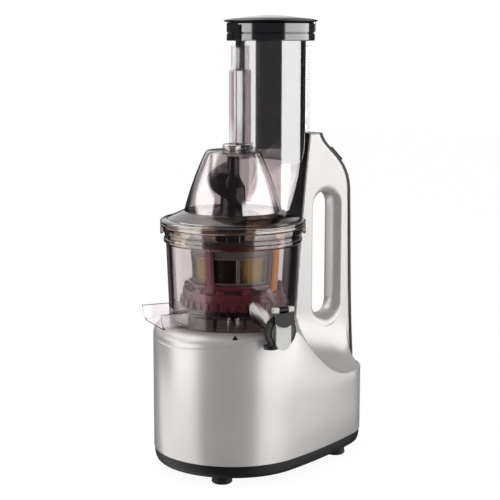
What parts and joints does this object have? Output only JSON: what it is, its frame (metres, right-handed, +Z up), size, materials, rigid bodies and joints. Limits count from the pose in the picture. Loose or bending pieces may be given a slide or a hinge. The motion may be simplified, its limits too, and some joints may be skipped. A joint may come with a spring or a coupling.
{
  "type": "cold press juicer",
  "caption": "Vertical slow juicer: silver motor base with handle column, smoked bowl with auger and strainer, wide feed tube, capped juice spout.",
  "frame": {"origin": "on the table, under the middle of the part's outline; the bowl axis stands at X -12.8 mm, Y -36.8 mm", "axes": "+Z up along the bowl axis, -Y the front, +X the juice spout's side"},
  "size_m": [0.1974, 0.2688, 0.4838],
  "materials": {
    "silver_body": "satin silver paint on moulded housings",
    "black_trim": "glossy black mouldings",
    "black_base": "matte black bottom plate",
    "foot_rubber": "black rubber",
    "switch_grey": "grey rocker",
    "smoke_clear": "smoked clear plastic",
    "clear": "clear plastic, faintly tinted",
    "auger_black": "hard near-black plastic",
    "steel": "steel",
    "strainer_grey": "grey strainer rings",
    "mesh_amber": "perforated sheet, amber under the smoked bowl",
    "cage_maroon": "maroon plastic",
    "wiper_orange": "orange silicone",
    "lever_white": "off-white lever",
    "lid_grey": "light grey lid inlay",
    "seal_pale": "pale silicone",
    "seal_dark": "dark silicone",
    "copper": "copper windings",
    "cast": "cast gearbox and motor frame",
    "nylon": "off-white gear nylon",
    "board_green": "circuit board",
    "capacitor_blue": "capacitor and sensor cases",
    "bronze": "bronze bushes",
    "laminate": "laminated iron"
  },
  "bodies": {
    "base": {"base_plate": "black_base", "feet": "foot_rubber", "base_screws": "steel", "cord_gland": "black_base", "lower_housing": "silver_body", "upper_housing": "silver_body", "column_front_cover": "black_trim", "column_rear_cover": "black_trim", "switch_housing": "black_base", "motor_mounts": "foot_rubber", "motor_frame": "cast", "motor_stator": "laminate", "motor_windings": "copper", "motor_bearings": "steel", "gearbox_case": "cast", "gearbox_cover": "cast", "gear_bushes": "bronze", "shaft_bearings": "steel", "shaft_seal": "seal_dark", "control_board": "board_green", "capacitor": "capacitor_blue", "reed_switch": "capacitor_blue"},
    "motor": {"rotor": "laminate", "motor_shaft": "steel", "motor_fan": "black_base"},
    "counter": {"counter_gear": "nylon"},
    "drive": {"output_gear": "nylon", "drive_shaft": "steel"},
    "switch": {"control_switch": "switch_grey"},
    "bowl": {"bowl": "smoke_clear", "pulp_tray": "clear", "juice_spout": "clear", "bowl_seal": "seal_dark", "pulp_plug": "seal_dark", "pinion_post": "steel", "cap_body": "black_trim", "cap_pin": "steel", "strainer_frame": "strainer_grey", "strainer_mesh": "mesh_amber"},
    "cap": {"cap_lever": "lever_white", "cap_cover": "black_trim", "cap_plug": "seal_dark"},
    "auger": {"auger": "auger_black", "auger_socket": "steel"},
    "pinion": {"cage_pinion": "nylon"},
    "cage": {"brush_cage": "cage_maroon", "wiper_blades": "wiper_orange"},
    "hopper": {"hopper": "smoke_clear", "hopper_seal": "seal_pale", "auger_bush": "nylon", "lid_magnet": "steel", "mouth_collar": "black_trim", "lid_hinge_pin": "steel"},
    "lid": {"feed_lid": "black_trim", "feed_lid_inlay": "lid_grey"}
  },
  "joints": [
    {"name": "motor_spin", "type": "hinge", "parent": "base", "child": "motor", "pos_m": [-0.0128, -0.0368, 0.06], "axis": [0, 0, 1], "continuous": true},
    {"name": "counter_spin", "type": "hinge", "parent": "base", "child": "counter", "pos_m": [-0.0128, -0.0768, 0.11], "axis": [0, 0, 1], "continuous": true},
    {"name": "drive_spin", "type": "hinge", "parent": "base", "child": "drive", "pos_m": [-0.0128, -0.0368, 0.14], "axis": [0, 0, 1], "continuous": true},
    {"name": "switch_rock", "type": "hinge", "parent": "base", "child": "switch", "pos_m": [-0.0128, 0.1032, 0.3305], "axis": [1, 0, 0], "range_deg": [-10, 10]},
    {"name": "bowl_lift", "type": "slide", "parent": "base", "child": "bowl", "axis": [0, 0, 1], "range_m": [0, 0.06]},
    {"name": "cap_flip", "type": "hinge", "parent": "bowl", "child": "cap", "pos_m": [0.09267, -0.0554, 0.19045], "axis": [-0.1736, -0.9848, 0], "range_deg": [0, 75]},
    {"name": "auger_spin", "type": "hinge", "parent": "bowl", "child": "auger", "pos_m": [-0.0128, -0.0368, 0.2], "axis": [0, 0, 1], "continuous": true},
    {"name": "pinion_spin", "type": "hinge", "parent": "bowl", "child": "pinion", "pos_m": [-0.0368, -0.0368, 0.183], "axis": [0, 0, 1], "continuous": true},
    {"name": "cage_spin", "type": "hinge", "parent": "bowl", "child": "cage", "pos_m": [-0.0128, -0.0368, 0.2], "axis": [0, 0, 1], "continuous": true},
    {"name": "hopper_lift", "type": "slide", "parent": "bowl", "child": "hopper", "axis": [0, 0, 1], "range_m": [0, 0.12]},
    {"name": "lid_open", "type": "hinge", "parent": "hopper", "child": "lid", "pos_m": [-0.0128, 0.0632, 0.4754], "axis": [-1, 0, 0], "range_deg": [0, 105]}
  ],
  "couplings": [
    {"joint": "counter_spin", "follows": "motor_spin", "ratio": -0.25},
    {"joint": "drive_spin", "follows": "motor_spin", "ratio": 0.0625},
    {"joint": "auger_spin", "follows": "motor_spin", "ratio": 0.0625},
    {"joint": "pinion_spin", "follows": "motor_spin", "ratio": -0.0625},
    {"joint": "cage_spin", "follows": "motor_spin", "ratio": -0.020833}
  ]
}
